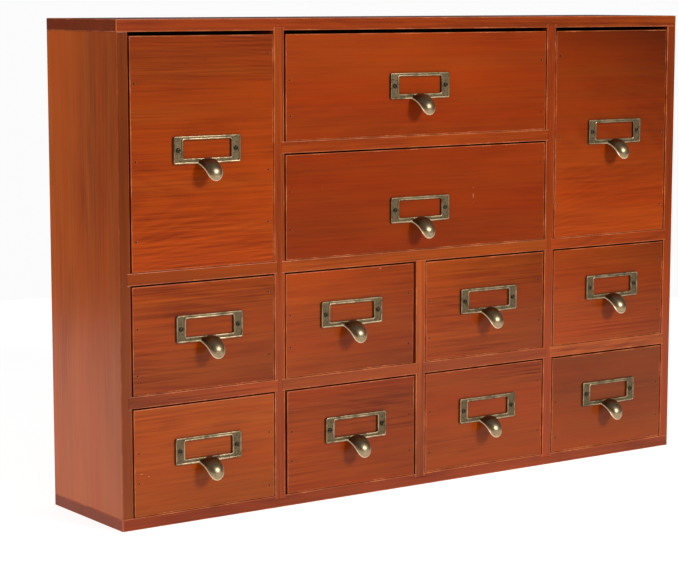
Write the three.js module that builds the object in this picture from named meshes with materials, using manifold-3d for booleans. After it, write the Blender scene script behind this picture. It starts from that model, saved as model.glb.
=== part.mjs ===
// Table-top apothecary cabinet: a shallow wooden case with twelve drawers, each drawer with a
// cast brass label pull. Millimetres, +Z up. The drawers face -Y, and the origin is the middle
// of the underside of the case.
import * as THREE from 'three';
import { mergeVertices } from 'three/addons/utils/BufferGeometryUtils.js';
import Module from 'manifold-3d';

const wasm = await Module();
wasm.setup();

// Driving dimensions of the case
const CASE_WIDTH = 510;
const CASE_DEPTH = 100;
const CASE_HEIGHT = 350;
const BOARD = 8.5;            // thickness of every board of the case
const HOUSING = 2.5;          // how far a shelf or divider is let into its neighbour
const SIDE_BAY = 117;         // clear width of the left and right bays
const DIVIDER_SHIFT = 0.75;   // the short centre divider stands this far right of the middle
const LOW_OPENING = 76.5;     // clear height of an ordinary drawer opening
const BACK_THICKNESS = 3;
const BACK_LAP = 4;           // how far the back panel laps onto each outer board

// Driving dimensions of a drawer
const FRONT_THICKNESS = 8.5;
const FRONT_SET_BACK = 0.5;   // from the front edges of the case
const BOX_LENGTH = 84;        // of the drawer box behind its front
const BOX_WALL = 7;
const BOX_BOTTOM = 3;
const BOX_DROP = 2;           // the box walls stop this far below the top of the front
const FLOOR_GAP = 0.25;       // between a drawer and the board it slides on
const HEAD_GAP = 1.25;        // over a drawer
const SIDE_BAY_FRONT = 115;
const CENTRE_BAY_FRONT = 114;
const WIDE_FRONT = 239.5;

// Driving dimensions of a pull
const PLATE = { width: 54, height: 19, thickness: 1.75, corner: 1.5 };
const WINDOW = { width: 39, height: 12.75, above: 0.5, corner: 1 };
const SCREW_SPACING = 46.5;
const SCREW_HOLE = 2;
const HOOK_WIDTH = 17;
const HOOK_TIP_RADIUS = 5;
const HOOK_DROP = 13.5;       // below the plate
const HOOK_REACH = 14.5;      // out from the drawer front
const HOOK_THICKNESS = 2;
const CURVE_STEPS = 3;        // straight steps in each rounded corner

const HALF_WIDTH = CASE_WIDTH / 2;
const FRONT_Y = -CASE_DEPTH / 2;
const REAR_Y = CASE_DEPTH / 2;
const PANEL_Y = REAR_Y - BACK_THICKNESS;
const CASE_FLOOR = BOARD;
const CASE_CEILING = CASE_HEIGHT - BOARD;
const LEFT_WALL = -HALF_WIDTH + BOARD;
const LEFT_DIVIDER = LEFT_WALL + SIDE_BAY;
const RIGHT_DIVIDER = -LEFT_DIVIDER - BOARD;
const CENTRE_DIVIDER = -BOARD / 2 + DIVIDER_SHIFT;
const STOREY = LOW_OPENING + BOARD;
const LOW_SHELF = CASE_FLOOR + LOW_OPENING;
const MID_SHELF = LOW_SHELF + STOREY;
const TOP_SHELF = MID_SHELF + STOREY;

const WOOD = { color: 0x9c4a22, roughness: 0.45, metalness: 0 };
const FRONT_WOOD = { color: 0xa8481c, roughness: 0.4, metalness: 0 };
const BOX_WOOD = { color: 0xc79b6b, roughness: 0.7, metalness: 0 };
const BACK_BOARD = { color: 0x9a6b45, roughness: 0.75, metalness: 0 };
const BRASS = { color: 0x857650, roughness: 0.35, metalness: 1 };

// A closed three.js geometry as a solid that can be joined and cut
function solidOf(geometry) {
  const bare = geometry.clone();
  bare.deleteAttribute('normal');
  bare.deleteAttribute('uv');
  const merged = mergeVertices(bare, 1e-4);
  const vertProperties = new Float32Array(merged.attributes.position.array);
  const triVerts = new Uint32Array(merged.index.array);
  return new wasm.Manifold(new wasm.Mesh({ numProp: 3, vertProperties, triVerts }));
}

function geometryOf(solid) {
  const mesh = solid.getMesh();
  const geometry = new THREE.BufferGeometry();
  geometry.setAttribute('position', new THREE.BufferAttribute(mesh.vertProperties, 3));
  geometry.setIndex(new THREE.BufferAttribute(mesh.triVerts, 1));
  geometry.computeVertexNormals();
  return geometry;
}

function slab([x0, x1], [y0, y1], [z0, z1]) {
  const box = new THREE.BoxGeometry(x1 - x0, y1 - y0, z1 - z0);
  box.translate((x0 + x1) / 2, (y0 + y1) / 2, (z0 + z1) / 2);
  return solidOf(box);
}

function cut(solid, hollows) {
  return hollows.reduce((rest, hollow) => rest.subtract(hollow), solid);
}

function named(name, solid, finish) {
  const mesh = new THREE.Mesh(geometryOf(solid), new THREE.MeshStandardMaterial(finish));
  mesh.name = name;
  return mesh;
}

// The case: two long boards, two sides between them, a back panel let in all round, dividers
// housed in the long boards, and shelves housed in the sides and dividers.
const upright = (x) => [x, x + BOARD];
const level = (z) => [z, z + BOARD];
const widened = ([low, high], by) => [low - by, high + by];
const boardDepth = [FRONT_Y, PANEL_Y];
const outerDepth = [FRONT_Y, REAR_Y];
const backWidth = [LEFT_WALL - BACK_LAP, -LEFT_WALL + BACK_LAP];
const backHeight = [CASE_FLOOR - BACK_LAP, CASE_CEILING + BACK_LAP];

const shelves = {
  left_lower_shelf: { x: [LEFT_WALL, LEFT_DIVIDER], z: LOW_SHELF },
  left_upper_shelf: { x: [LEFT_WALL, LEFT_DIVIDER], z: MID_SHELF },
  centre_lower_left_shelf: { x: [LEFT_DIVIDER + BOARD, CENTRE_DIVIDER], z: LOW_SHELF },
  centre_lower_right_shelf: { x: [CENTRE_DIVIDER + BOARD, RIGHT_DIVIDER], z: LOW_SHELF },
  centre_mid_shelf: { x: [LEFT_DIVIDER + BOARD, RIGHT_DIVIDER], z: MID_SHELF },
  centre_top_shelf: { x: [LEFT_DIVIDER + BOARD, RIGHT_DIVIDER], z: TOP_SHELF },
  right_lower_shelf: { x: [RIGHT_DIVIDER + BOARD, -LEFT_WALL], z: LOW_SHELF },
  right_upper_shelf: { x: [RIGHT_DIVIDER + BOARD, -LEFT_WALL], z: MID_SHELF },
};
const dividers = {
  left_divider: { x: LEFT_DIVIDER, z: widened([CASE_FLOOR, CASE_CEILING], HOUSING) },
  centre_divider: { x: CENTRE_DIVIDER, z: [CASE_FLOOR - HOUSING, MID_SHELF] },
  right_divider: { x: RIGHT_DIVIDER, z: widened([CASE_FLOOR, CASE_CEILING], HOUSING) },
};

const backPanel = slab(backWidth, [PANEL_Y, REAR_Y], backHeight);
const shelfSolids = Object.entries(shelves).map(([name, { x, z }]) => ({
  name,
  solid: slab(widened(x, HOUSING), boardDepth, level(z)),
}));
const dividerSolids = Object.entries(dividers).map(([name, { x, z }]) => ({
  name,
  solid: slab(upright(x), boardDepth, z),
}));

function carcass() {
  const group = new THREE.Group();
  const shelfHollows = shelfSolids.map(({ solid }) => solid);
  const dividerHollows = dividerSolids.map(({ solid }) => solid);
  const add = (name, solid, finish = WOOD) => group.add(named(name, solid, finish));
  for (const [name, z] of [['bottom_board', 0], ['top_board', CASE_CEILING]]) {
    const board = slab([-HALF_WIDTH, HALF_WIDTH], outerDepth, level(z));
    add(name, cut(board, [backPanel, ...dividerHollows]));
  }
  for (const [name, x] of [['left_side', -HALF_WIDTH], ['right_side', -LEFT_WALL]]) {
    const board = slab(upright(x), outerDepth, [CASE_FLOOR, CASE_CEILING]);
    add(name, cut(board, [backPanel, ...shelfHollows]));
  }
  for (const { name, solid } of dividerSolids) add(name, cut(solid, shelfHollows));
  for (const { name, solid } of shelfSolids) add(name, solid);
  add('back_panel', backPanel, BACK_BOARD);
  return group;
}

// A rounded rectangle outline, middle at (x, y)
function roundedRectangle(outline, x, y, width, height, corner) {
  const right = x + width / 2;
  const top = y + height / 2;
  const left = x - width / 2;
  const bottom = y - height / 2;
  outline.moveTo(right, bottom + corner);
  outline.absarc(right - corner, top - corner, corner, 0, Math.PI / 2);
  outline.absarc(left + corner, top - corner, corner, Math.PI / 2, Math.PI);
  outline.absarc(left + corner, bottom + corner, corner, Math.PI, Math.PI * 1.5);
  outline.absarc(right - corner, bottom + corner, corner, Math.PI * 1.5, Math.PI * 2);
  return outline;
}

// The label frame: a flat plate with a window for a card and a screw hole in each wing.
// Its back lies on y = 0 and its middle on x = z = 0.
function labelPlate() {
  const outline = new THREE.Shape();
  roundedRectangle(outline, 0, 0, PLATE.width, PLATE.height, PLATE.corner);
  const { width, height, above, corner } = WINDOW;
  outline.holes.push(roundedRectangle(new THREE.Path(), 0, above, width, height, corner));
  for (const side of [-1, 1]) {
    const hole = new THREE.Path();
    hole.absarc(side * SCREW_SPACING / 2, 0, SCREW_HOLE / 2, 0, Math.PI * 2);
    outline.holes.push(hole);
  }
  const settings = { depth: PLATE.thickness, bevelEnabled: false, curveSegments: CURVE_STEPS };
  const plate = new THREE.ExtrudeGeometry(outline, settings);
  plate.rotateX(Math.PI / 2);
  return solidOf(plate);
}

// The finger hook: a bent strip seen from the side, trimmed to a thumb shape seen from the
// front. The strip starts in the bottom rail of the plate.
function fingerHook() {
  const railTop = WINDOW.above - WINDOW.height / 2;
  const plateBottom = -PLATE.height / 2;
  const tip = plateBottom - HOOK_DROP;
  const bend = new THREE.Shape();
  bend.moveTo(0, railTop);
  bend.lineTo(PLATE.thickness, railTop);
  bend.bezierCurveTo(HOOK_REACH * 0.75, railTop - 1, HOOK_REACH, tip + 8, HOOK_REACH, tip + 2);
  bend.lineTo(HOOK_REACH - HOOK_THICKNESS, tip);
  const inside = HOOK_REACH - HOOK_THICKNESS;
  bend.bezierCurveTo(inside, tip + 6, HOOK_REACH * 0.7, plateBottom - 2, 0, plateBottom);
  const bendSettings = { depth: HOOK_WIDTH, bevelEnabled: false, curveSegments: CURVE_STEPS * 3 };
  const strip = new THREE.ExtrudeGeometry(bend, bendSettings);
  strip.translate(0, 0, -HOOK_WIDTH / 2);
  strip.rotateX(Math.PI / 2);
  strip.rotateZ(-Math.PI / 2);

  const thumb = new THREE.Shape();
  const half = HOOK_WIDTH / 2;
  thumb.moveTo(-half, railTop + 1);
  thumb.lineTo(-half, plateBottom);
  thumb.quadraticCurveTo(-half + 1, plateBottom - 3, -HOOK_TIP_RADIUS, tip + HOOK_TIP_RADIUS);
  thumb.absarc(0, tip + HOOK_TIP_RADIUS, HOOK_TIP_RADIUS, Math.PI, Math.PI * 2);
  thumb.quadraticCurveTo(half - 1, plateBottom - 3, half, plateBottom);
  thumb.lineTo(half, railTop + 1);
  const thumbSettings = { depth: HOOK_REACH * 2, bevelEnabled: false, curveSegments: CURVE_STEPS * 2 };
  const trim = new THREE.ExtrudeGeometry(thumb, thumbSettings);
  trim.rotateX(Math.PI / 2);
  trim.translate(0, HOOK_REACH / 2, 0);
  return solidOf(strip).intersect(solidOf(trim));
}

const pull = labelPlate().add(fingerHook());

// Drawers: the opening each one fills, the width of its front, how much more room than usual
// it has overhead, and how far its pull was fixed to the right of and above the middle.
const TOP_SLACK = CASE_CEILING - TOP_SHELF - BOARD - LOW_OPENING;
const rows = {
  lower: { floor: CASE_FLOOR, height: LOW_OPENING },
  upper: { floor: LOW_SHELF + BOARD, height: LOW_OPENING },
  wideLower: { floor: MID_SHELF + BOARD, height: LOW_OPENING },
  wideUpper: { floor: TOP_SHELF + BOARD, height: LOW_OPENING + TOP_SLACK, slack: TOP_SLACK },
  tall: { floor: MID_SHELF + BOARD, height: CASE_CEILING - MID_SHELF - BOARD, slack: TOP_SLACK },
};
const bays = {
  left: { middle: (LEFT_WALL + LEFT_DIVIDER) / 2, front: SIDE_BAY_FRONT },
  centreLeft: { middle: (LEFT_DIVIDER + BOARD + CENTRE_DIVIDER) / 2, front: CENTRE_BAY_FRONT },
  centreRight: { middle: (CENTRE_DIVIDER + BOARD + RIGHT_DIVIDER) / 2, front: CENTRE_BAY_FRONT },
  right: { middle: -(LEFT_WALL + LEFT_DIVIDER) / 2, front: SIDE_BAY_FRONT },
  wide: { middle: 0, front: WIDE_FRONT },
};
const drawers = [
  { name: 'tall_left', bay: bays.left, row: rows.tall, pullAt: [2.25, 2] },
  { name: 'tall_right', bay: bays.right, row: rows.tall, pullAt: [2.75, 1.25] },
  { name: 'wide_upper', bay: bays.wide, row: rows.wideUpper, pullAt: [-2, -1] },
  { name: 'wide_lower', bay: bays.wide, row: rows.wideLower, pullAt: [-1.25, -7] },
  { name: 'upper_left', bay: bays.left, row: rows.upper, pullAt: [3.25, 5.75] },
  { name: 'upper_centre_left', bay: bays.centreLeft, row: rows.upper, pullAt: [0, 5.75] },
  { name: 'upper_centre_right', bay: bays.centreRight, row: rows.upper, pullAt: [2.25, 5] },
  { name: 'upper_right', bay: bays.right, row: rows.upper, pullAt: [2.5, 6] },
  { name: 'lower_left', bay: bays.left, row: rows.lower, pullAt: [1.75, 4.75] },
  { name: 'lower_centre_left', bay: bays.centreLeft, row: rows.lower, pullAt: [2.75, 5.25] },
  { name: 'lower_centre_right', bay: bays.centreRight, row: rows.lower, pullAt: [1.75, 5.75] },
  { name: 'lower_right', bay: bays.right, row: rows.lower, pullAt: [0.5, 5.5] },
];

// A drawer about the bottom middle of its front: the front board, the open-topped box behind
// it and the pull screwed to it.
function drawer({ name, bay, row, pullAt: [pullRight, pullUp] }) {
  const height = row.height - FLOOR_GAP - HEAD_GAP - (row.slack ?? 0);
  const half = bay.front / 2;
  const boxRear = FRONT_THICKNESS + BOX_LENGTH;
  const boxTop = height - BOX_DROP;
  const front = slab([-half, half], [0, FRONT_THICKNESS], [0, height]);
  const box = slab([-half, half], [FRONT_THICKNESS, boxRear], [0, boxTop]);
  const inside = slab(
    [-half + BOX_WALL, half - BOX_WALL],
    [FRONT_THICKNESS - 1, boxRear - BOX_WALL],
    [BOX_BOTTOM, boxTop + 1],
  );
  const group = new THREE.Group();
  group.position.set(bay.middle, FRONT_Y + FRONT_SET_BACK, row.floor + FLOOR_GAP);
  group.add(named(`${name}_front`, front, FRONT_WOOD));
  group.add(named(`${name}_box`, box.subtract(inside), BOX_WOOD));
  const handle = named(`${name}_pull`, pull, BRASS);
  handle.position.set(pullRight, 0, height / 2 + pullUp);
  group.add(handle);
  return group;
}

const cabinet = new THREE.Group();
cabinet.add(carcass());
for (const each of drawers) cabinet.add(drawer(each));

export default cabinet;
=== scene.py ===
import math
import random

import bmesh
import bpy
from mathutils import Matrix, Vector


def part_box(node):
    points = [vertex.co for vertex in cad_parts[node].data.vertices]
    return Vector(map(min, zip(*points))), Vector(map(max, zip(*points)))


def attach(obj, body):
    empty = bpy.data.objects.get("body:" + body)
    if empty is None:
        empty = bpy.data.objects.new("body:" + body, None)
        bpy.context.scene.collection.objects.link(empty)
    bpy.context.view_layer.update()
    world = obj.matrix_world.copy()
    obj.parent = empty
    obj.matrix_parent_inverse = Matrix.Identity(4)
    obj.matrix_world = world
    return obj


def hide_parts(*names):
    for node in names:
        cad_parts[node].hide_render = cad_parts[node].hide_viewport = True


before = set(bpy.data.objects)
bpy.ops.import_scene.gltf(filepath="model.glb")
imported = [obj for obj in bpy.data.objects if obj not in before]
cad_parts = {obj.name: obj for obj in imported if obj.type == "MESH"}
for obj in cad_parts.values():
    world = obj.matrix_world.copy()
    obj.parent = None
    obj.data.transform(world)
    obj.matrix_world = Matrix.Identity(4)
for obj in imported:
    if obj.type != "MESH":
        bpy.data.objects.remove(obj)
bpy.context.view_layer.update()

MM = 0.001


# CASE. Fifteen boards of stained and lacquered wood, planed 8.5 mm thick. The two long boards
# lie over and under the sides, the dividers are let into them, and the shelves are let into the
# sides and dividers and glued. Handling has rubbed the stain off every sharp edge.
ARRIS = 0.35 * MM
MERGE = 0.01 * MM
FLAT_ENOUGH = math.radians(0.5)
WARM_STAIN = (150, 60, 12)
DARK_STAIN = (98, 31, 5)
RUBBED_WOOD = (188, 104, 60)
AMBER_SHIFT = (1.04, 1.3, 1.7, 1.0)
END_BLACK = 0.45
CASE_SHEEN = 0.2
RING_GAP = 2.6 * MM
RING_WANDER = 3.0 * MM
RING_DRIFT = 16.0 * MM
END_FADE = (0.25 * MM, 0.1 * MM)
EDGE_FADE = (0.3 * MM, 0.15 * MM)
RUBBED_WIDTH = 0.75 * MM
GRAIN_RELIEF = 0.12 * MM
LOG_SPREAD = 40
PITH_BEHIND = (0.02, 0.06)
PITH_ASIDE = 0.05
PITH_TILT = 0.12


class Wire:
    """An output of a material's nodes that takes part in sums as a number does."""

    def __init__(self, tree, socket=None):
        self.tree = tree
        self.socket = socket

    def node(self, kind, settings=None, sockets=None, output=0):
        """Adds a node with these settings and these socket values or links, and gives one output."""
        made = self.tree.nodes.new("ShaderNode" + kind)
        for setting, value in (settings or {}).items():
            setattr(made, setting, value)
        for place, value in (sockets or {}).items():
            if isinstance(value, Wire):
                self.tree.links.new(value.socket, made.inputs[place])
            else:
                made.inputs[place].default_value = value
        return Wire(self.tree, made.outputs[output] if len(made.outputs) else None)

    def sum(self, operation, *numbers):
        return self.node("Math", {"operation": operation}, dict(enumerate(numbers)))

    def __add__(self, other):
        return self.sum("ADD", self, other)

    __radd__ = __add__

    def __sub__(self, other):
        return self.sum("SUBTRACT", self, other)

    def __rsub__(self, other):
        return self.sum("SUBTRACT", other, self)

    def __mul__(self, other):
        return self.sum("MULTIPLY", self, other)

    __rmul__ = __mul__

    def __truediv__(self, other):
        return self.sum("DIVIDE", self, other)

    def least(self, other):
        return self.sum("MINIMUM", self, other)

    def most(self, other):
        return self.sum("MAXIMUM", self, other)

    def rise(self, start, end):
        """0 below start and 1 above end, or the other way round if end is the smaller."""
        sockets = {"Value": self, "From Min": start, "From Max": end}
        return self.node("MapRange", {"interpolation_type": "SMOOTHSTEP"}, sockets)

    def parts(self):
        made = self.node("SeparateXYZ", None, {0: self})
        return [Wire(self.tree, made.socket.node.outputs[i]) for i in range(3)]

    def point(self, x, y, z):
        return self.node("CombineXYZ", None, {0: x, 1: y, 2: z})

    def noise(self, where, scale, detail=2.0, roughness=0.5):
        sockets = {"Vector": where, "Scale": scale, "Detail": detail, "Roughness": roughness}
        return self.node("TexNoise", None, sockets)

    def mixed(self, factor, first, second, way="MIX"):
        settings = {"data_type": "RGBA", "blend_type": way}
        return self.node("Mix", settings, {0: factor, 6: first, 7: second}, 2)

    def lay_on(self, sockets, kind="BsdfPrincipled", target="OutputMaterial"):
        """Makes the last shader with these sockets and gives it to the surface."""
        return self.node(target, None, {"Surface": self.node(kind, None, sockets)})

    def note(self, name, output="Vector"):
        """What this piece's mesh carries under that name."""
        return self.node("Attribute", {"attribute_name": name}, None, output)


def shade(red, green, blue):
    """A colour given from 0 to 255, as the linear values that a material takes."""
    linear = [((c / 255 + 0.055) / 1.055) ** 2.4 for c in (red, green, blue)]
    return (*linear, 1.0)


def blank_finish(name):
    """A new material without nodes, and the pen that draws them."""
    finish = bpy.data.materials.new(name)
    finish.use_nodes = True
    finish.node_tree.nodes.clear()
    return finish, Wire(finish.node_tree)


def wood_finish(name, light, dark, rubbed, figure, smudges, satin=0.19, sheen=0.16):
    """Stained wood cut from a log whose rings run through the board, with rubbed edges."""
    finish, pen = blank_finish(name)
    light, dark, rubbed = shade(*light), shade(*dark), shade(*rubbed)
    place = pen.node("TexCoord", None, None, "Object")
    x, y, z = place.parts()
    low = pen.note("board_low").parts()
    high = pen.note("board_high").parts()
    upright = pen.note("upright", "Fac")
    offset = pen.note("cut").parts()
    pith = pen.note("pith").parts()
    gaps = [(here - a).least(b - here) for here, a, b in zip((x, y, z), low, high)]
    to_edge = gaps[0].least(gaps[1]).most(gaps[0].most(gaps[1]).least(gaps[2]))
    to_end = gaps[0] + (gaps[2] - gaps[0]) * upright
    along = x + (z - x) * upright + offset[0]
    across = z + (x - z) * upright

    def grained(per_metre_along, per_metre_across, detail, turn):
        """Noise drawn out along the grain."""
        first, second = offset[turn], offset[(turn + 1) % 3]
        thick = y * per_metre_across + first
        wide = across * per_metre_across + second
        return pen.noise(pen.point(along * per_metre_along, thick, wide), 1.0, detail, 0.6)

    broad = grained(5, 14, 3.0, 0)
    wander = grained(13, 42, 2.0, 1)
    band = grained(2.5, 55, 2.0, 2)
    streak = grained(4, 230, 2.0, 0)
    line = grained(5, 480, 2.0, 2)
    fibre = grained(16, 900, 3.0, 1)
    smudge = grained(11, 55, 3.0, 2).rise(0.52, 0.8)
    fleck = grained(130, 700, 2.0, 0).rise(0.64, 0.8)
    depth = y - pith[0] + (along - offset[0]) * pith[2]
    ring_point = pen.point(depth, across - pith[1], 0.0)
    radius = pen.node("VectorMath", {"operation": "LENGTH"}, {0: ring_point}, "Value")
    warped = radius + (wander - 0.5) * RING_WANDER + (broad - 0.5) * RING_DRIFT
    swing = pen.sum("SINE", warped * (2 * math.pi / RING_GAP))
    late = (swing * 0.5 + 0.5).rise(0.1, 1.0) * broad.rise(0.35, 0.62)

    amber = [c * shift for c, shift in zip(light, AMBER_SHIFT)]
    colour = pen.mixed(band.rise(0.38, 0.64), light, amber)
    fine = (fibre - 0.5) * 1.4 + (line - 0.5) * 0.9 + (streak - 0.5) * 0.2
    marking = late * (figure * 0.4) + fine * (0.5 + broad.rise(0.3, 0.7)) + smudge * smudges
    grain = marking * pen.note("figured", "Fac") + (broad - 0.5) + (band - 0.5) * 0.5
    grain = (grain + fleck * 0.15 + 0.28).least(1.0).most(0.0)
    colour = pen.mixed(grain, colour, dark)
    # The tone note carries each board's stain and a painted light gradient to its top and right.
    colour = pen.mixed(1.0, colour, pen.note("tone"), "MULTIPLY")

    speckle = pen.noise(place, 1300.0, 2.0, 0.7)
    end = to_end.rise(*END_FADE)
    black = [c * END_BLACK for c in dark[:3]] + [1.0]
    end_tone = end * pen.note("end_tone", "Fac")
    colour = pen.mixed(end_tone, colour, pen.mixed(speckle.rise(0.42, 0.62), dark, black))
    front_edge = (y - low[1]).rise(*EDGE_FADE)
    darker = 1 - (1 - pen.note("edge_tone", "Fac")) * front_edge
    colour = pen.mixed(1.0, colour, pen.point(darker, darker, darker), "MULTIPLY")

    chip = pen.noise(place, 300.0, 3.0, 0.65).rise(0.4, 0.7)
    nibble = pen.noise(place, 60.0, 2.0).rise(0.35, 0.65)
    reach = (chip * nibble * 0.6 + 0.6) * RUBBED_WIDTH
    wear = pen.note("wear", "Fac") * (nibble * 0.5 + 0.35)
    rubbed_away = (to_edge / reach).rise(1.3, 0.6) * wear
    colour = pen.mixed(rubbed_away, colour, rubbed)

    roughness = satin + (broad - 0.5) * 0.1 + fibre * 0.05 + rubbed_away * 0.2 + end * 0.2
    height = fibre * 0.4 + late * 0.2 - fleck * 0.2 - rubbed_away * 0.4
    relief = {"Strength": 0.15, "Distance": GRAIN_RELIEF, "Height": height}
    normal = pen.node("Bump", None, relief)
    lacquer = {
        "Base Color": colour,
        "Roughness": roughness,
        "Normal": normal,
        "Specular IOR Level": sheen,
    }
    pen.lay_on(lacquer)
    return finish


def make_notes(mesh, **notes):
    """Writes one number or one vector on every vertex of a mesh."""
    for name, value in notes.items():
        single = isinstance(value, (int, float))
        kind = "FLOAT" if single else "FLOAT_VECTOR"
        layer = mesh.attributes.new(name, kind, "POINT")
        values = [value] if single else list(value)
        layer.data.foreach_set("value" if single else "vector", values * len(mesh.vertices))


def add_piece(name, shape, finishes, body, stands_for=()):
    """Makes an object of a mesh in its place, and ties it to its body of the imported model."""
    mesh = bpy.data.meshes.new(name)
    if isinstance(shape, bmesh.types.BMesh):
        shape.to_mesh(mesh)
        shape.free()
    else:
        mesh = shape
        mesh.name = name
    piece = bpy.data.objects.new(name, mesh)
    bpy.context.scene.collection.objects.link(piece)
    for finish in finishes[len(mesh.materials) :]:
        mesh.materials.append(finish)
    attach(piece, body)
    if stands_for:
        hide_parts(*stands_for)
    return piece


def soften(piece, width, segments=3):
    """Rounds the sharp edges of a board a little."""
    rounding = piece.modifiers.new("arris", "BEVEL")
    rounding.width = width
    rounding.segments = segments
    rounding.limit_method = "ANGLE"
    return piece


chance = random.Random(11)
PLAIN = ((1.0, 1.0, 1.0), 0.0, 0.0)


def timber(
    piece,
    low,
    high,
    upright=0.0,
    free=(1, 1, 1),
    edge_tone=1.0,
    end_tone=0.6,
    wear=1.0,
    tone=PLAIN,
    figured=1.0,
):
    """Notes on a board's mesh what its finish needs to know: its faces, the way of its grain,
    where in the log it was, and how its colour shifts from its middle to its top and right,
    which is partly its stain and partly painted light.
    free tells, for x, y and z, if the board's ends in that direction are bare and get rubbed."""
    hidden = Vector([0.0 if bare else 1.0 for bare in free])
    middle = (low + high) / 2
    across = middle.x if upright else middle.z
    notes = {
        "board_low": low - hidden,
        "board_high": high + hidden,
        "upright": float(upright),
        "cut": [chance.uniform(0, LOG_SPREAD) for _ in range(3)],
        "pith": (
            middle.y + chance.uniform(*PITH_BEHIND),
            across + chance.uniform(-PITH_ASIDE, PITH_ASIDE),
            chance.uniform(-PITH_TILT, PITH_TILT),
        ),
        "edge_tone": edge_tone,
        "end_tone": end_tone,
        "wear": wear,
        "figured": figured,
    }
    make_notes(piece.data, **notes)
    # The growth to the top and right is partly stain and partly painted light: it paints each board
    # lighter or darker where the lamps fall on the case.
    colour, light_and_stain_upward, light_and_stain_sideways = tone
    half = (high - low) / 2
    stain_and_light_shifts = []
    for v in piece.data.vertices:
        away = v.co - middle
        shift = 1 + light_and_stain_upward * away.z / half.z + light_and_stain_sideways * (away.x + away.y) / (half.x + half.y)
        stain_and_light_shifts += [c * shift for c in colour]
    layer = piece.data.attributes.new("tone", "FLOAT_VECTOR", "POINT")
    layer.data.foreach_set("vector", stain_and_light_shifts)


def board_shape(node):
    """A packed board with its housings, as plain flat faces."""
    shape = bmesh.new()
    shape.from_mesh(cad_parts[node].data)
    bmesh.ops.remove_doubles(shape, verts=shape.verts, dist=MERGE)
    bmesh.ops.dissolve_limit(
        shape, angle_limit=FLAT_ENOUGH, verts=shape.verts, edges=shape.edges
    )
    return shape


case_wood = wood_finish(
    "case_stain", WARM_STAIN, DARK_STAIN, RUBBED_WOOD, figure=0.35, smudges=0.3, sheen=CASE_SHEEN
)
upright_boards = ["left_side", "right_side", "left_divider", "centre_divider", "right_divider"]
level_boards = [
    "bottom_board",
    "top_board",
    "left_lower_shelf",
    "left_upper_shelf",
    "centre_lower_left_shelf",
    "centre_lower_right_shelf",
    "centre_mid_shelf",
    "centre_top_shelf",
    "right_lower_shelf",
    "right_upper_shelf",
]
long_boards = ["bottom_board", "top_board"]
# Each board's tone: its stain colour, and how that grows to the top and to the right of it,
# which is partly stain and partly painted light, lighter or darker as the lamps fall on it.
board_stain_and_light = {
    "left_side": ((1.25, 1.41, 1.41), -0.07, 0.17),
    "left_divider": ((0.93, 0.9, 0.9), 0.13, 0.0),
    "centre_divider": ((0.97, 1.0, 1.0), 0.26, 0.0),
    "right_divider": ((0.84, 0.66, 0.66), -0.09, 0.0),
    "right_side": ((0.77, 0.63, 0.63), -0.23, 0.0),
    "top_board": ((0.85, 0.76, 0.76), 0.0, -0.07),
    "bottom_board": ((0.86, 0.74, 0.74), 0.0, 0.03),
    "left_lower_shelf": ((1.11, 0.99, 0.99), 0.0, 0.4),
    "left_upper_shelf": ((0.85, 0.91, 0.91), 0.0, 0.14),
    "centre_lower_left_shelf": ((0.92, 0.88, 0.88), 0.0, 0.05),
    "centre_lower_right_shelf": ((0.83, 0.77, 0.77), 0.0, 0.15),
    "centre_mid_shelf": ((0.96, 1.12, 1.12), 0.0, -0.19),
    "centre_top_shelf": ((0.96, 0.94, 0.94), 0.0, -0.08),
    "right_lower_shelf": ((1.18, 1.35, 1.35), 0.0, -0.11),
    "right_upper_shelf": ((0.93, 0.89, 0.89), 0.0, -0.12),
}
edge_tones = {"left_side": 0.56, "bottom_board": 0.9}
end_tones = {"bottom_board": 0.3}
board_figures = {"left_side": 0.55, "right_side": 0.7}
board_wear = {"left_side": 0.3, "top_board": 0.8}
for board in upright_boards + level_boards:
    upright = board in upright_boards
    free = (1, 1, 1) if board in long_boards else (upright, 1, not upright)
    shape = board_shape(board)
    piece = add_piece(board + "_wood", shape, [case_wood], "case", [board])
    timber(
        piece,
        *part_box(board),
        upright=upright,
        free=free,
        edge_tone=edge_tones.get(board, 1.0),
        end_tone=end_tones.get(board, 0.6),
        wear=board_wear.get(board, 1.0),
        tone=board_stain_and_light[board],
        figured=board_figures.get(board, 0.85),
    )
    soften(piece, ARRIS)


# BACK. A thin unlacquered panel let into a rebate all round the back of the case and held by
# small round-headed pins. It keeps the case square.
PANEL_TAN = (170, 126, 88)
PANEL_BROWN = (128, 88, 58)
PANEL_RUBBED = (196, 156, 118)
PIN_HEAD = 2.4 * MM
PIN_INSET = 2.2 * MM
PIN_SUNK = 0.35 * MM
PIN_DOME = 0.5
PINS_ALONG = 6
PINS_UP = 4

panel_wood = wood_finish(
    "panel_wood", PANEL_TAN, PANEL_BROWN, PANEL_RUBBED, figure=0.7, smudges=0.3, satin=0.6
)
panel_low, panel_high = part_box("back_panel")
panel = add_piece(
    "back_panel_sheet", board_shape("back_panel"), [panel_wood], "case", ["back_panel"]
)
timber(panel, panel_low, panel_high)
soften(panel, ARRIS / 2)


def metal_finish(name, dull, bright, roughness, wear_scale):
    """Darkened metal with brighter patches, spread by noise, where handling has polished it."""
    finish, pen = blank_finish(name)
    place = pen.node("TexCoord", None, None, "Object")
    grime = pen.noise(place, wear_scale, 4.0, 0.6)
    colour = pen.mixed(grime.rise(0.35, 0.7), shade(*dull), shade(*bright))
    normal = pen.node("Bump", None, {"Strength": 0.3, "Distance": 0.1 * MM, "Height": grime})
    metal = {
        "Base Color": colour,
        "Metallic": 1.0,
        "Roughness": roughness + grime * 0.2,
        "Normal": normal,
    }
    pen.lay_on(metal)
    return finish


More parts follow.
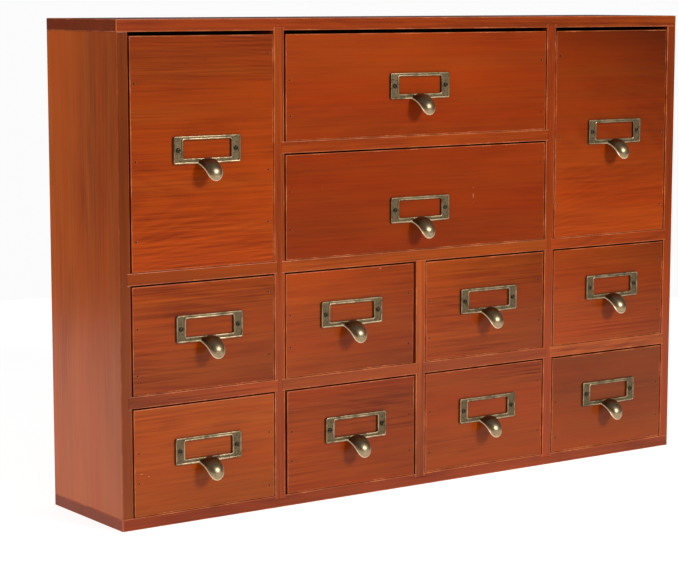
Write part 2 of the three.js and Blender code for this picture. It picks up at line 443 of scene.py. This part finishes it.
PIN_DULL = (70, 62, 54)
PIN_BRIGHT = (150, 142, 130)
steel = metal_finish("pin_steel", PIN_DULL, PIN_BRIGHT, roughness=0.3, wear_scale=900.0)
pins = bmesh.new()
pin_places = []
for step in range(PINS_ALONG):
    share = step / (PINS_ALONG - 1)
    across = panel_low.x + PIN_INSET + share * (panel_high.x - panel_low.x - 2 * PIN_INSET)
    pin_places += [(across, panel_low.z + PIN_INSET), (across, panel_high.z - PIN_INSET)]
for step in range(1, PINS_UP):
    up = panel_low.z + (panel_high.z - panel_low.z) * step / PINS_UP
    pin_places += [(panel_low.x + PIN_INSET, up), (panel_high.x - PIN_INSET, up)]
for across, up in pin_places:
    around = Matrix.Translation((across, panel_high.y - PIN_SUNK, up))
    flat = Matrix.Diagonal((1.0, PIN_DOME, 1.0, 1.0))
    bmesh.ops.create_uvsphere(
        pins, u_segments=16, v_segments=8, radius=PIN_HEAD / 2, matrix=around @ flat
    )
pin_piece = add_piece("back_panel_pins", pins, [steel], "case")
pin_piece.data.shade_smooth()


# DRAWER FRONTS. Twelve planed boards 8.5 mm thick, stained and lacquered like the case. Each is
# nailed to the sides of its drawer near its ends, with the heads punched below the surface.
NAIL_IN = 4.0 * MM
NAIL_RADIUS = 0.68 * MM
NAIL_SUNK = 0.45 * MM
NAIL_LENGTH = 6.0 * MM
NAIL_WANDER = 0.4 * MM
HOLE_SPARE = 1.0 * MM
HOLE_FLARE = 0.88 * MM
FLARE_DEPTH = 0.3 * MM
OVERLAP = 0.05 * MM
SCREW_OUT = 23.25 * MM
PILOT_RADIUS = 0.95 * MM
PILOT_DEPTH = 7.0 * MM
PLATE_HALF = 9.5 * MM
DENT_DEPTH = 0.35 * MM
FRONT_STAIN = (148, 56, 7)
FRONT_DARK = (96, 28, 3)
FRONT_RUBBED = (188, 104, 58)
RAW_WOOD = (164, 98, 58)
NAIL_DARK = (26, 22, 20)
NAIL_WORN = (60, 52, 46)

# Each drawer's stain and painted light as for the boards of the case, how strong its figure is,
# how many millimetres it stands to the right in its opening, its nails as shares down from the
# top, and its dents: the shares across and down the front, and the millimetres wide and tall.
drawers = {
    "tall_left": {
        "tone": ((1.03, 1.01, 1.01), -0.24, 0.02),
        "figured": 0.9,
        "aside": 0.6,
        "dents": [(0.38, 0.004, 1.6, 0.7), (0.42, 0.004, 0.9, 0.6)],
        "left": (0.2, 0.53, 0.87),
        "right": (0.08, 0.59, 0.82),
    },
    "tall_right": {
        "tone": ((0.85, 0.76, 0.76), -0.52, -0.14),
        "figured": 0.45,
        "aside": 0.2,
        "left": (0.12, 0.51, 0.84),
        "right": (0.12, 0.51, 0.87),
    },
    "wide_upper": {
        "tone": ((0.95, 0.8, 0.8), 0.02, -0.08),
        "figured": 0.35,
        "aside": 0.5,
        "left": (0.43, 0.77),
        "right": (0.29, 0.82),
    },
    "wide_lower": {
        "tone": ((0.86, 0.69, 0.69), 0.05, 0.0),
        "figured": 0.35,
        "aside": 0.4,
        "dents": [
            (0.708, 0.5, 1.3, 3.8),
            (0.709, 0.42, 0.8, 1.0),
            (0.709, 0.57, 0.7, 1.0),
            (0.13, 0.33, 0.7, 0.7),
        ],
        "left": (0.35, 0.71),
        "right": (0.2, 0.72),
    },
    "upper_left": {
        "tone": ((0.87, 0.91, 0.91), 0.11, -0.1),
        "figured": 1.0,
        "aside": 0.5,
        "left": (0.39, 0.82),
        "right": (0.15, 0.75),
    },
    "upper_centre_left": {
        "tone": ((0.94, 0.93, 0.93), 0.12, -0.16),
        "figured": 0.5,
        "aside": -0.5,
        "dents": [(0.73, 0.02, 2.2, 0.9)],
        "left": (0.4, 0.71),
        "right": (0.3, 0.8),
    },
    "upper_centre_right": {
        "tone": ((0.81, 0.84, 0.84), 0.03, -0.23),
        "figured": 0.9,
        "aside": 0.0,
        "dents": [(0.995, 0.6, 0.8, 6.0)],
        "left": (0.4, 0.77),
        "right": (0.28, 0.71),
    },
    "upper_right": {
        "tone": ((0.89, 0.88, 0.88), -0.11, -0.2),
        "figured": 0.6,
        "aside": 0.3,
        "left": (0.4, 0.74),
        "right": (0.18, 0.74),
    },
    "lower_left": {
        "tone": ((1.07, 1.24, 1.24), 0.13, -0.03),
        "figured": 0.7,
        "aside": 0.4,
        "dents": [(0.05, 0.6, 2.4, 0.7), (0.1, 0.63, 1.8, 0.7)],
        "left": (0.41, 0.69),
        "right": (0.37, 0.89),
    },
    "lower_centre_left": {
        "tone": ((0.84, 0.8, 0.8), -0.04, -0.13),
        "figured": 0.7,
        "aside": 0.5,
        "left": (0.4, 0.69),
        "right": (0.38, 0.75),
    },
    "lower_centre_right": {
        "tone": ((0.81, 0.8, 0.8), -0.03, -0.02),
        "figured": 1.0,
        "aside": 0.1,
        "left": (0.39, 0.81),
        "right": (0.21, 0.74),
    },
    "lower_right": {
        "tone": ((0.7, 0.79, 0.79), -0.17, -0.03),
        "figured": 0.4,
        "aside": 0.3,
        "left": (0.47, 0.85),
        "right": (0.4, 0.76),
    },
}
front_wood = wood_finish(
    "front_stain", FRONT_STAIN, FRONT_DARK, FRONT_RUBBED, figure=0.45, smudges=0.35
)
raw_wood = wood_finish(
    "raw_wood", RAW_WOOD, RUBBED_WOOD, RAW_WOOD, figure=0.3, smudges=0.2, satin=0.6
)
nail_iron = metal_finish("nail_iron", NAIL_DARK, NAIL_WORN, roughness=0.55, wear_scale=700.0)


def drawer_box(drawer, part):
    """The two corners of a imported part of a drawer, moved aside with its drawer."""
    aside = Vector((drawers[drawer]["aside"] * MM, 0, 0))
    return [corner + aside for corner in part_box(drawer + "_" + part)]


def box_shape(low, high):
    """A plain block between two corners."""
    shape = bmesh.new()
    block = Matrix.Translation((low + high) / 2) @ Matrix.Diagonal((*(high - low), 1.0))
    bmesh.ops.create_cube(shape, size=1.0, matrix=block)
    return shape


def turned(shape, profile, centre, steps=24):
    """Spins a profile of (radius, distance in from the front) round the line through centre."""
    corners = [shape.verts.new(centre + Vector((radius, inward, 0))) for radius, inward in profile]
    edges = [shape.edges.new(pair) for pair in zip(corners, corners[1:])]
    bmesh.ops.spin(
        shape,
        geom=corners + edges,
        cent=centre,
        axis=(0, 1, 0),
        angle=2 * math.pi,
        steps=steps,
        use_merge=True,
    )
    bmesh.ops.remove_doubles(shape, verts=shape.verts, dist=MERGE)


def combined(body, tools, way, finishes):
    """The mesh of body after tools are cut from it or joined to it."""
    pair = []
    for part, name in ((body, "body"), (tools, "tools")):
        mesh = bpy.data.meshes.new(name)
        bmesh.ops.recalc_face_normals(part, faces=part.faces)
        part.to_mesh(mesh)
        part.free()
        pair.append(bpy.data.objects.new(name, mesh))
        bpy.context.scene.collection.objects.link(pair[-1])
    for thing, finish in zip(pair, finishes):
        thing.data.materials.append(finish)
    work = pair[0].modifiers.new("work", "BOOLEAN")
    work.operation = way
    work.object = pair[1]
    work.solver = "EXACT"
    work.material_mode = "TRANSFER"
    bpy.context.view_layer.update()
    seen = pair[0].evaluated_get(bpy.context.evaluated_depsgraph_get())
    result = bpy.data.meshes.new_from_object(seen)
    for thing in pair:
        bpy.data.meshes.remove(thing.data)
    return result


for drawer, details in drawers.items():
    low, high = drawer_box(drawer, "front")
    pull_low, pull_high = drawer_box(drawer, "pull")
    middle = (pull_low.x + pull_high.x) / 2
    details["pull"] = Vector((middle, pull_high.y, pull_high.z - PLATE_HALF))
    holes = bmesh.new()
    nails = bmesh.new()
    sunk = [
        (0, NAIL_LENGTH + HOLE_SPARE),
        (NAIL_RADIUS, NAIL_LENGTH + HOLE_SPARE),
        (NAIL_RADIUS, FLARE_DEPTH),
        (HOLE_FLARE, -OVERLAP),
        (0, -OVERLAP),
    ]
    nail = [
        (0, NAIL_SUNK),
        (NAIL_RADIUS * 0.9, NAIL_SUNK + 0.05 * MM),
        (NAIL_RADIUS * 0.96, NAIL_SUNK + 0.3 * MM),
        (NAIL_RADIUS * 0.5, NAIL_LENGTH),
        (0, NAIL_LENGTH),
    ]
    for side, across in (("left", low.x + NAIL_IN), ("right", high.x - NAIL_IN)):
        for share in details[side]:
            up = high.z - share * (high.z - low.z)
            centre = Vector((across + chance.uniform(-1, 1) * NAIL_WANDER, low.y, up))
            turned(holes, sunk, centre, 12)
            turned(nails, nail, centre, 12)
    pilot = [
        (0, PILOT_DEPTH),
        (PILOT_RADIUS, PILOT_DEPTH),
        (PILOT_RADIUS, -2 * OVERLAP),
        (0, -2 * OVERLAP),
    ]
    for side in (-1, 1):
        turned(holes, pilot, details["pull"] + Vector((side * SCREW_OUT, 0, 0)), 12)
    for right, down, wide, tall in details.get("dents", []):
        across = low.x + right * (high.x - low.x)
        centre = Vector((across, low.y, high.z - down * (high.z - low.z)))
        hollow = Matrix.Diagonal((wide * MM / 2, DENT_DEPTH, tall * MM / 2, 1.0))
        place = Matrix.Translation(centre) @ hollow
        bmesh.ops.create_uvsphere(holes, u_segments=12, v_segments=8, radius=1.0, matrix=place)
    block = box_shape(low, high)
    bmesh.ops.bevel(
        block,
        geom=block.edges,
        offset=ARRIS,
        segments=2,
        profile=0.5,
        affect="EDGES",
        material=-1,
    )
    mesh = combined(block, holes, "DIFFERENCE", [front_wood, raw_wood])
    body = drawer + "_drawer"
    piece = add_piece(
        drawer + "_front_wood", mesh, [front_wood, raw_wood], body, [drawer + "_front"]
    )
    timber(piece, low, high, tone=details["tone"], figured=details["figured"])
    bmesh.ops.recalc_face_normals(nails, faces=nails.faces)
    add_piece(drawer + "_nails", nails, [nail_iron], body)


# DRAWER BOXES. Behind each front, two sides and a back 7 mm thick and a thin bottom let in
# between them, of pale bare wood, glued and nailed. They slide on the case's boards.
BOX_PALE = (214, 178, 128)
BOX_BROWN = (176, 134, 88)
BOX_RUBBED = (226, 196, 152)
WALL = 7.0 * MM
BOTTOM = 3.0 * MM
box_wood = wood_finish(
    "bare_wood", BOX_PALE, BOX_BROWN, BOX_RUBBED, figure=0.6, smudges=0.2, satin=0.6
)
for drawer in drawers:
    low, high = drawer_box(drawer, "box")
    boards = {
        "left_board": (low, Vector((low.x + WALL, high.y, high.z))),
        "right_board": (Vector((high.x - WALL, low.y, low.z)), high),
        "back_board": (
            Vector((low.x + WALL, high.y - WALL, low.z)),
            Vector((high.x - WALL, high.y, high.z)),
        ),
        "bottom_board": (
            Vector((low.x + WALL, low.y, low.z)),
            Vector((high.x - WALL, high.y - WALL, low.z + BOTTOM)),
        ),
    }
    for board, corners in boards.items():
        stands_for = [drawer + "_box"] if board == "left_board" else []
        piece = add_piece(
            drawer + "_" + board,
            box_shape(*corners),
            [box_wood],
            drawer + "_drawer",
            stands_for,
        )
        timber(piece, *corners)
        soften(piece, ARRIS)


# LABEL PULLS. One brass casting on each front: a card frame with a raised bead round its
# outside and round its window, and a hollow thumb-shaped hook that grows out of its lower rail.
# It is darkened with age and bright where it is touched, and the lips of its hook carry a
# painted highlight as well as polish.
PLATE = (54.0, 19.0, 1.75)
PLATE_CORNER = 1.5
WINDOW = (39.0, 12.75)
WINDOW_UP = 0.5
WINDOW_CORNER = 1.0
BEAD = 1.05
FIELD_SLOPE = 0.3
FIELD_SUNK = 0.45
HOOK_RIM = ((0.8, -9.0), (6.5, -10.6), (12.2, -14.0), (12.9, -21.2))
HOOK_RIDGE = ((1.5, -6.0), (9.5, -5.8), (18.3, -13.6), (12.9, -21.2))
HOOK_ROOT = 8.4
HOOK_TIP = 6.3
HOOK_LIP = 0.75
HOOK_WALL = 1.1
HOOK_STEPS = 26
HOOK_ARCH = 18
HOOK_CURL = 4
HOOK_TAPER = 1.4
HOOK_BLUNT = 6
HOOK_CROWD = 1.6
HOOK_MERGE = 0.02
LIP_REACH = 1.9
BEAD_ROUND = 0.38
PULL_SMOOTH = math.radians(38)
BRASS_DULL = (98, 84, 60)
BRASS_BRIGHT = (210, 184, 144)
BRASS_LIP_POLISH_AND_HIGHLIGHT = (204, 180, 144)
BRASS_FIELD = (106, 92, 68)
BRASS_SPECK = (52, 44, 32)


def bend_at(points, share):
    """A point (out, up) on a smooth bend with two end points and two guide points."""
    rest = 1 - share
    weights = (rest**3, 3 * rest * rest * share, 3 * rest * share * share, share**3)
    return [sum(w * p[i] for w, p in zip(weights, points)) for i in range(2)]


def outline(shape, width, height, up, corner):
    """Edges of a rounded rectangle that stands on the front of the drawer."""
    known = set(shape.edges)
    stand = Matrix.Translation((0, 0, up)) @ Matrix.Rotation(math.pi / 2, 4, "X")
    bmesh.ops.create_grid(
        shape,
        x_segments=1,
        y_segments=1,
        size=0.5,
        matrix=stand @ Matrix.Diagonal((width, height, 1.0, 1.0)),
    )
    corners = [v for v in shape.verts if not any(e in known for e in v.link_edges)]
    bmesh.ops.bevel(
        shape,
        geom=corners,
        offset=corner,
        segments=4,
        profile=0.5,
        affect="VERTICES",
        material=-1,
    )
    bmesh.ops.delete(shape, geom=shape.faces, context="FACES_ONLY")
    return [e for e in shape.edges if e not in known]


def plate_shape():
    """The card frame, with its two beads standing above its sunk field."""
    width, height, thickness = PLATE
    plate = bmesh.new()
    outer = outline(plate, width, height, 0.0, PLATE_CORNER)
    inner = outline(plate, *WINDOW, WINDOW_UP, WINDOW_CORNER)
    bmesh.ops.bridge_loops(plate, edges=outer + inner)
    grown = bmesh.ops.extrude_face_region(plate, geom=plate.faces)
    raised = [v for v in grown["geom"] if isinstance(v, bmesh.types.BMVert)]
    bmesh.ops.translate(plate, verts=raised, vec=(0, -thickness, 0))
    bmesh.ops.recalc_face_normals(plate, faces=plate.faces)
    field = [f for f in plate.faces if f.normal.y < -0.9]
    bmesh.ops.inset_region(plate, faces=field, thickness=BEAD, use_even_offset=True)
    bmesh.ops.inset_region(
        plate, faces=field, thickness=FIELD_SLOPE, depth=-FIELD_SUNK, use_even_offset=True
    )
    crest = [
        e
        for e in plate.edges
        if all(abs(v.co.y + thickness) < 0.01 for v in e.verts) and e.calc_face_angle(0) > 0.3
    ]
    bmesh.ops.bevel(
        plate,
        geom=crest,
        offset=BEAD_ROUND,
        segments=3,
        profile=0.5,
        affect="EDGES",
        material=-1,
    )
    return plate


def section_at(share):
    """The closed outline of the hook at a share of its length: (right, out, up) points that run
    over one lip, the crown and the other lip, and back under the hollow."""
    rim = Vector(bend_at(HOOK_RIM, share))
    ridge = Vector(bend_at(HOOK_RIDGE, share))
    lift = (ridge - rim).length
    away = (ridge - rim).normalized()
    half = HOOK_TIP + (HOOK_ROOT - HOOK_TIP) * (1 - share) ** HOOK_TAPER
    half = half * math.sqrt(max(0, 1 - share**HOOK_BLUNT))
    wall = min(HOOK_WALL, half / 2, lift / 2)
    lip = min(HOOK_LIP, half / 4)
    step = min(0.25, lift / 4)
    arch = [math.pi * (i / HOOK_ARCH - 0.5) for i in range(HOOK_ARCH + 1)]
    curl = [math.pi * i / HOOK_CURL for i in range(1, HOOK_CURL)]
    flat = [(-half, 0.0)]
    flat += [((half - lip) * math.sin(a), step + (lift - step) * math.cos(a)) for a in arch]
    flat.append((half, 0.0))
    flat += [(half - wall / 2 * (1 - math.cos(c)), -wall / 2 * math.sin(c)) for c in curl]
    flat += [((half - wall) * math.sin(a), (lift - wall) * math.cos(a)) for a in reversed(arch)]
    flat += [(wall / 2 * (1 + math.cos(c)) - half, -wall / 2 * math.sin(c)) for c in curl]
    flat.append(flat[0])
    return [(right, *(rim + away * up)) for right, up in flat]


hook_sections = [
    section_at(1 - (1 - i / HOOK_STEPS) ** HOOK_CROWD) for i in range(HOOK_STEPS + 1)
]


def hook_shape():
    """The hook as a closed shell, pinched shut at its tip and capped inside the rail."""
    hook = bmesh.new()
    around = len(hook_sections[0]) - 1
    bmesh.ops.create_grid(hook, x_segments=around, y_segments=HOOK_STEPS, size=1.0)
    for v in hook.verts:
        place = round((v.co.x + 1) / 2 * around)
        right, out, up = hook_sections[round((v.co.y + 1) / 2 * HOOK_STEPS)][place]
        v.co = (right, -out, up)
    bmesh.ops.remove_doubles(hook, verts=hook.verts, dist=HOOK_MERGE)
    bmesh.ops.holes_fill(hook, edges=hook.edges, sides=0)
    return hook


def brass_finish():
    """Darkened brass, told by how many millimetres out from the front each part of it lies."""
    finish, pen = blank_finish("aged_brass")
    place = pen.note("pull_place")
    right, out, up = place.parts()
    own = pen.note("pull_own")
    where = pen.node("VectorMath", {"operation": "ADD"}, {0: place, 1: own})
    sand = pen.noise(where, 1.1, 4.0, 0.7)
    cloud = pen.noise(where, 0.16, 3.0, 0.6)
    speck = pen.noise(where, 0.7, 2.0, 0.6).rise(0.52, 0.66)
    flat = out.rise(1.5, 1.35)
    high = out.rise(1.45, 1.72)
    touched = out.rise(5.0, 11.0)
    hook = out.rise(1.85, 2.4)
    bead = high * (1 - hook)
    # The lips of the hook are painted bright: partly brass polished by handling, partly a painted
    # highlight, with less metal so they show bright without a lamp to mirror.
    lip = pen.note("lip", "Fac").rise(0.35, 0.85)
    bright = bead * (cloud.rise(0.3, 0.6) * 0.35 + 0.1) + lip * 0.9 + touched * 0.4
    bright = bright + (cloud - 0.5) * 0.6 + (sand - 0.5) * 0.6
    bright = bright.most(0.0).least(1.0)
    colour = pen.mixed(bright, shade(*BRASS_DULL), shade(*BRASS_BRIGHT))
    colour = pen.mixed(lip * 0.8, colour, shade(*BRASS_LIP_POLISH_AND_HIGHLIGHT))
    colour = pen.mixed(flat * 0.7, colour, shade(*BRASS_FIELD))
    colour = pen.mixed(speck * (0.25 + flat * 0.45), colour, shade(*BRASS_SPECK))
    height = sand * (0.3 + flat)
    normal = pen.node("Bump", None, {"Strength": 0.5, "Distance": 0.25 * MM, "Height": height})
    metal = {
        "Base Color": colour,
        "Metallic": 1 - lip * 0.6,
        "Roughness": 0.4 - bright * 0.1 + flat * 0.12 + lip * 0.12 + (sand - 0.5) * 0.1,
        "Normal": normal,
    }
    pen.lay_on(metal)
    return finish


brass = brass_finish()
casting = combined(plate_shape(), hook_shape(), "UNION", [brass, brass])
screw_holes = bmesh.new()
seat = [(0, 1), (1.0, 1), (1.0, -0.6), (1.5, -3), (0, -3)]
for side in (-1, 1):
    turned(screw_holes, seat, Vector((side * SCREW_OUT / MM, 0, 0)), 20)
blank = bmesh.new()
blank.from_mesh(casting)
casting = combined(blank, screw_holes, "DIFFERENCE", [brass, brass])
# Nearness to the hook's lips, which the brass paints as polish and as a painted highlight.
lip_points = [
    Vector((right, -out, up))
    for section in hook_sections
    for right, out, up in (section[0], section[HOOK_ARCH + 2])
]
lip_polish_and_highlight = [
    max(0, 1 - min((v.co - point).length for point in lip_points) / LIP_REACH)
    for v in casting.vertices
]
for drawer, details in drawers.items():
    cast = bmesh.new()
    cast.from_mesh(casting)
    places = [Vector((v.co.x, -v.co.y, v.co.z)) for v in cast.verts]
    bmesh.ops.scale(cast, vec=(MM, MM, MM), verts=cast.verts)
    bmesh.ops.translate(cast, vec=details["pull"], verts=cast.verts)
    pull = add_piece(
        drawer + "_brass_pull", cast, [brass], drawer + "_drawer", [drawer + "_pull"]
    )
    layer = pull.data.attributes.new("pull_place", "FLOAT_VECTOR", "POINT")
    layer.data.foreach_set("vector", [c for p in places for c in p])
    pull.data.attributes.new("lip", "FLOAT", "POINT").data.foreach_set("value", lip_polish_and_highlight)
    make_notes(pull.data, pull_own=[chance.uniform(0, 900) for _ in range(3)])
    pull.data.shade_smooth()
    pull.data.set_sharp_from_angle(angle=PULL_SMOOTH)


# PULL SCREWS. Two small round-headed cross-slot screws hold each casting. They have gone dark,
# and the edges of their slots catch the light.
HEAD_RADIUS = 1.75
HEAD_HEIGHT = 1.0
HEAD_SEAT = 1.28
SHANK_RADIUS = 0.85
SLOT_LONG = 2.3
SLOT_WIDE = 0.5
SLOT_DEEP = 0.8
SHANK_END = 4.8
SCREW_POINT = 6.6
SCREW_SMOOTH = math.radians(35)
SCREW_DARK = (26, 23, 18)
SCREW_WORN = (96, 86, 68)
screw_metal = metal_finish(
    "screw_steel", SCREW_DARK, SCREW_WORN, roughness=0.26, wear_scale=1100.0
)
blank = bmesh.new()
crown = -HEAD_SEAT - HEAD_HEIGHT
turned(
    blank,
    [
        (0, crown),
        (HEAD_RADIUS * 0.45, crown + 0.06),
        (HEAD_RADIUS * 0.78, crown + 0.24),
        (HEAD_RADIUS * 0.96, crown + 0.58),
        (HEAD_RADIUS, -HEAD_SEAT),
        (SHANK_RADIUS, -HEAD_SEAT),
        (SHANK_RADIUS, SHANK_END),
        (0, SCREW_POINT),
    ],
    Vector((0, 0, 0)),
    24,
)
slots = bmesh.new()
core_size = Matrix.Diagonal((SLOT_WIDE, SLOT_DEEP * 2, SLOT_WIDE, 1.0))
core = Matrix.Translation((0, crown, 0)) @ core_size
bmesh.ops.create_cube(slots, size=1.0, matrix=core)
for face in [f for f in slots.faces if abs(f.normal.y) < 0.5]:
    away = face.normal.copy()
    grown = bmesh.ops.extrude_face_region(slots, geom=[face])
    bmesh.ops.delete(slots, geom=[face], context="FACES_ONLY")
    ends = [v for v in grown["geom"] if isinstance(v, bmesh.types.BMVert)]
    bmesh.ops.translate(slots, verts=ends, vec=away * (SLOT_LONG - SLOT_WIDE) / 2)
    deep = [v for v in ends if v.co.y > crown]
    bmesh.ops.translate(slots, verts=deep, vec=(0, -SLOT_DEEP * 0.5, 0))
screw = combined(blank, slots, "DIFFERENCE", [screw_metal, screw_metal])
for drawer, details in drawers.items():
    for side, word in ((-1, "left"), (1, "right")):
        made = bmesh.new()
        made.from_mesh(screw)
        spun = Matrix.Rotation(chance.uniform(0, math.pi / 2), 3, "Y")
        bmesh.ops.rotate(made, cent=(0, 0, 0), matrix=spun, verts=made.verts)
        bmesh.ops.scale(made, vec=(MM, MM, MM), verts=made.verts)
        centre = details["pull"] + Vector((side * SCREW_OUT, 0, 0))
        bmesh.ops.translate(made, vec=centre, verts=made.verts)
        piece = add_piece(
            drawer + "_" + word + "_screw", made, [screw_metal], drawer + "_drawer"
        )
        piece.data.shade_smooth()
        piece.data.set_sharp_from_angle(angle=SCREW_SMOOTH)


# STUDIO. A white table under soft lamps: the main one high in front and to the right, a broad
# one to the left for the side of the case. The room beyond the table is dim.
TABLE_RADIUS = 1.05
TABLE_BELOW = 0.2 * MM
TABLE_GLOW = 0.72
ROOM_BEHIND = 0.97
ROOM_LIGHT = 0.35
ROOM_MIRROR_DROP = 0.2
table_top = bmesh.new()
bmesh.ops.create_circle(
    table_top,
    cap_ends=True,
    segments=96,
    radius=TABLE_RADIUS,
    matrix=Matrix.Translation((0, 0, -TABLE_BELOW)),
)
table_finish, pen = blank_finish("white_table")
paper = {
    "Base Color": (0.6, 0.6, 0.6, 1.0),
    "Roughness": 0.9,
    "Specular IOR Level": 0.0,
    "Emission Color": (1.0, 1.0, 1.0, 1.0),
    "Emission Strength": TABLE_GLOW,
}
pen.lay_on(paper)
table_mesh = bpy.data.meshes.new("table_top")
table_top.to_mesh(table_mesh)
table_top.free()
table_mesh.materials.append(table_finish)
table = bpy.data.objects.new("table_top", table_mesh)
bpy.context.scene.collection.objects.link(table)


def add_lamp(name, where, towards, size, power):
    """A round soft lamp that faces a point of the cabinet."""
    lamp = bpy.data.lights.new(name, "AREA")
    lamp.shape = "DISK"
    lamp.size = size
    lamp.energy = power
    holder = bpy.data.objects.new(name, lamp)
    holder.location = where
    holder.rotation_euler = (Vector(towards) - Vector(where)).to_track_quat("-Z", "Y").to_euler()
    bpy.context.scene.collection.objects.link(holder)
    return holder


add_lamp("main_lamp", where=(0.66, -1.9, 1.05), towards=(0, 0, 0.17), size=0.6, power=36)
side_lamp = add_lamp(
    "side_lamp", where=(-2.1, -0.5, 0.9), towards=(-0.25, 0, 0.17), size=1.2, power=20
)
side_lamp.visible_glossy = False

world = bpy.data.worlds.new("room")
world.use_nodes = True
world.node_tree.nodes.clear()
bpy.context.scene.world = world
pen = Wire(world.node_tree)
seen = pen.node("LightPath", None, None, "Is Camera Ray")
mirrored = pen.node("LightPath", None, None, "Is Glossy Ray")
strength = seen * ROOM_BEHIND + (1 - seen) * (ROOM_LIGHT - mirrored * ROOM_MIRROR_DROP)
pen.lay_on({"Color": (1.0, 1.0, 1.0, 1.0), "Strength": strength}, "Background", "OutputWorld")
bpy.context.scene.view_settings.view_transform = "Standard"

CAMERA_PLACE = (-0.9588, -1.3154, 0.3642)
CAMERA_YAW = math.radians(34.98)
CAMERA_DIP = math.radians(7.79)
CAMERA_LENS = 113.9
CAMERA_SENSOR = 36.0
camera = bpy.data.cameras.new("camera")
camera.lens = CAMERA_LENS
camera.sensor_width = CAMERA_SENSOR
holder = bpy.data.objects.new("camera", camera)
holder.location = CAMERA_PLACE
level = math.cos(CAMERA_DIP)
look = Vector((math.sin(CAMERA_YAW) * level, math.cos(CAMERA_YAW) * level, -math.sin(CAMERA_DIP)))
holder.rotation_euler = look.to_track_quat("-Z", "Y").to_euler()
bpy.context.scene.collection.objects.link(holder)
bpy.context.scene.camera = holder
